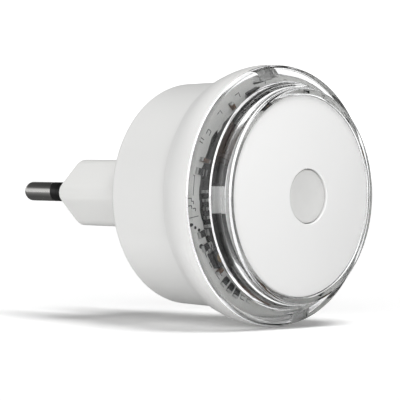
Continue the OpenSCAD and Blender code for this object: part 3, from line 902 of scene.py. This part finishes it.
def ring_places(node):
    """Angle, radius and foot depth of each separate solid of a node on the light board."""
    places = []
    for corners in solids(node):
        centre = sum(corners, Vector()) / len(corners)
        foot = min(corner.z for corner in corners)
        angle = math.degrees(math.atan2(centre.y, centre.x))
        places.append((angle, math.hypot(centre.x, centre.y), foot))
    return sorted(places)


def copies(places, make):
    """A small mesh at each of these places, its own x running outwards."""
    return joined(*(moved(make(), on_ring(*place)) for place in places))


def bent_strip(path, width, thickness):
    """A flat strip bent along a path of (x, z) points, its width along y."""
    rings = []
    for i, (x, z) in enumerate(path):
        ahead = Vector(path[min(i + 1, len(path) - 1)]) - Vector(path[max(i - 1, 0)])
        side = Vector((-ahead.y, ahead.x)).normalized() * thickness / 2
        rings.append([(x + side.x, -width / 2, z + side.y), (x + side.x, width / 2, z + side.y),
                      (x - side.x, width / 2, z - side.y), (x - side.x, -width / 2, z - side.y)])
    middles = [(path[i][0], 0, path[i][1]) for i in (0, -1)]
    return loft([[middles[0]]] + rings + [[middles[1]]])


def chip_part(length, width, height, cap):
    """Body and two end caps of a small chip part that lies along x."""
    body = rounded_box((length - 1.6 * cap, width - 0.06, height - 0.04), (0, 0, 0.01), 0.06)
    ends = []
    for side in (-1, 1):
        ends.append(rounded_box((cap, width, height), (side * (length - cap) / 2, 0, 0), 0.07))
    return body, joined(*ends)


def make_chip_parts(node, word, size, cap, material):
    """Chip resistors or capacitors: bodies of one material between tinned end caps."""
    places = ring_places(node)
    bodies = copies(places, lambda: chip_part(*size, cap)[0])
    ends = copies(places, lambda: chip_part(*size, cap)[1])
    piece(f"{word}_bodies", bodies, MATERIALS[material], [node])
    piece(f"{word}_ends", ends, MATERIALS["tinned_metal"], [node])


def make_controller():
    """Moulded chip with drafted sides and a first-pin dimple, on bent leads."""
    low, high = 0.2, 1.5
    width, length = 3.4, 9.4
    side_draft, end_draft = 0.06, 0.025
    pitch = 1.65
    lead_w, lead_t = 0.6, 0.2
    (angle, r, foot), = ring_places("controller_chip")
    body = rounded_box((width, length, high - low), (0, 0, 0), 0.16, 3)
    for vert in body.verts:
        lift = abs(vert.co.z - (high - low) / 2)
        vert.co.x *= 1 - side_draft * lift
        vert.co.y *= 1 - end_draft * lift
    dimple = turned([(0, 1.2), (0.35, 1.2), (0.4, 2), (0, 2)], 32)
    body = combined(body, moved(dimple, Matrix.Translation((0.9, -3.8, 0))), "DIFFERENCE")
    piece("controller_body", moved(body, on_ring(angle, r, foot)), MATERIALS["chip_black"],
          ["controller_chip"])
    # A lead leaves the body, bends down, and bends out again along the board
    path = [(-0.2, 1.0)]
    path += arc(0.15, 0.75, 0.25, 90, 0, 5)
    path += arc(0.65, 0.35, 0.25, 180, 270, 5)
    path += [(1.2, 0.1)]
    leads = []
    for i in range(5):
        lead = bent_strip(path, lead_w, lead_t)
        leads.append(moved(lead, Matrix.Translation((width / 2, (i - 2) * pitch, 0))))
    piece("controller_leads", moved(joined(*leads), on_ring(angle, r, BOARD_TOP)),
          MATERIALS["tinned_metal"], ["chip_leads"])


def make_can():
    """Small can capacitor on its side: shrink sleeve, rolled groove and bare vented end."""
    radius = 1.85
    length = 7.5
    edge = 0.25
    groove = 0.9
    groove_r = 0.28
    (angle, r, foot), = ring_places("storage_capacitor")
    across = on_ring(angle, r, foot + radius) @ Matrix.Rotation(math.pi / 2, 4, "X")
    across = across @ Matrix.Translation((0, 0, -length / 2))
    profile = [(0, 0.05), (radius - 0.5, 0.05)]
    profile += arc(radius - edge, edge, edge, -90, 0, 4)
    profile += arc(radius + groove_r / 2, groove, groove_r, 240, 120, 6)
    profile += arc(radius - edge, length - edge, edge, 0, 90, 4)
    profile += [(radius - 0.4, length), (radius - 0.45, length - 0.1), (0, length - 0.1)]
    piece("storage_can", moved(turned(profile, 64), across), MATERIALS["brown_can"],
          ["storage_capacitor"])


def make_tuning_block():
    """Dipped block capacitor with rounded corners."""
    (angle, r, foot), = ring_places("tuning_capacitor")
    block = rounded_box((2.8, 7.2, 4), (0, 0, 0), 0.45, 5)
    piece("tuning_block", moved(block, on_ring(angle, r, foot)), MATERIALS["brown_block"],
          ["tuning_capacitor"])


def make_leds():
    """Four surface lamps: a dark frame round a resin window, with tinned feet."""
    places = ring_places("ring_leds")
    length, width, height = 3.3, 2.7, 1.2
    window_r = 1.05
    bowl_r = window_r - 0.25
    bowl_floor = height - 0.45
    crown_r = 3.2

    def lamp_body():
        body = rounded_box((width, length, height), (0, 0, 0), 0.1)
        bowl = turned([(0, bowl_floor), (bowl_r, bowl_floor),
                       (window_r + 0.05, height + 0.2), (0, height + 0.2)], 40)
        return combined(body, bowl, "DIFFERENCE")

    def feet():
        return joined(*(rounded_box((1.9, 0.5, 0.4), (0, side * 1.5, 0), 0.08) for side in (-1, 1)))

    def window():
        base = bowl_floor + 0.01
        profile = [(0, base), (bowl_r, base), (window_r - 0.02, height - 0.1)]
        profile += arc(0, height - crown_r, crown_r, 70, 90, 6)[1:-1]
        profile += [(0, height)]
        return turned(profile, 40)

    piece("ring_lamp_frames", copies(places, lamp_body), MATERIALS["led_dark"], ["ring_leds"])
    piece("ring_lamp_feet", copies(places, feet), MATERIALS["tinned_metal"], ["ring_leds"])
    piece("ring_lamp_windows", copies(places, window), MATERIALS["lamp_resin"], ["ring_leds"])


def make_board_print():
    """Dark marks printed on the pale edge of the light board: lines, dots and open boxes."""
    ink = 0.03
    line = 0.13
    marks = []

    def stroke(angle, r, along, across):
        """A stroke at a place on the board, with its sizes outwards and round the ring."""
        flat = rounded_box((along, across, ink), (0, 0, 0), 0.012, 1)
        marks.append(moved(flat, on_ring(angle, r, BOARD_TOP)))

    def dot(angle, r, size):
        flat = turned([(0, 0), (size / 2, 0), (size / 2, ink), (0, ink)], 24)
        marks.append(moved(flat, on_ring(angle, r, BOARD_TOP)))

    def open_box(angle, r, along, across):
        for side in (-1, 1):
            stroke(angle, r + side * along / 2, line, across)
        stroke(angle - math.degrees(across / 2 / r), r, along, line)

    stroke(175, 23, line, 3.8)
    stroke(170.4, 23.2, 0.5, line)
    for angle, r in ((181, 23.9), (182.4, 23.3), (184.4, 23.9), (185.8, 22.9)):
        stroke(angle, r, 0.7, line * 1.3)
        stroke(angle + 0.8, r - 0.3, line * 1.3, 0.5)
    stroke(189.8, 23.1, 2.2, line)
    for i in range(4):
        dot(193 + 1.8 * i, 24 - 0.8 * i, 0.62)
    dot(204.4, 22.9, 0.9)
    for angle in (209.5, 215.5, 223.5, 243.5, 248.5):
        open_box(angle, 22.1, 0.9, 1.1)
    for angle in (152.6, 154.4):
        stroke(angle, 23.4, 0.9, line * 1.4)
    open_box(148, 22.6, 0.8, 1)
    for angle in (135, 120, 100, 84, 60, 30, 355, 340, 320, 285):
        stroke(angle, 22.6, 0.9, line)
        stroke(angle + 1.6, 22.9, line, 0.8)
    piece("board_print", joined(*marks), MATERIALS["chip_black"], [])


place_camera()
dress_cad_nodes()
make_housing()
make_plug()
make_pin(-1, "left")
make_pin(1, "right")
make_lens()
make_face()
make_button()
make_snap_dome()
make_controller()
make_can()
make_tuning_block()
make_leds()
make_chip_parts("chip_resistors", "resistor", (2, 1.25, 0.5), 0.35, "chip_black")
make_chip_parts("chip_capacitors", "capacitor", (1.6, 0.8, 0.8), 0.3, "brown_block")
make_board_print()
lay_floor()
light_scene()
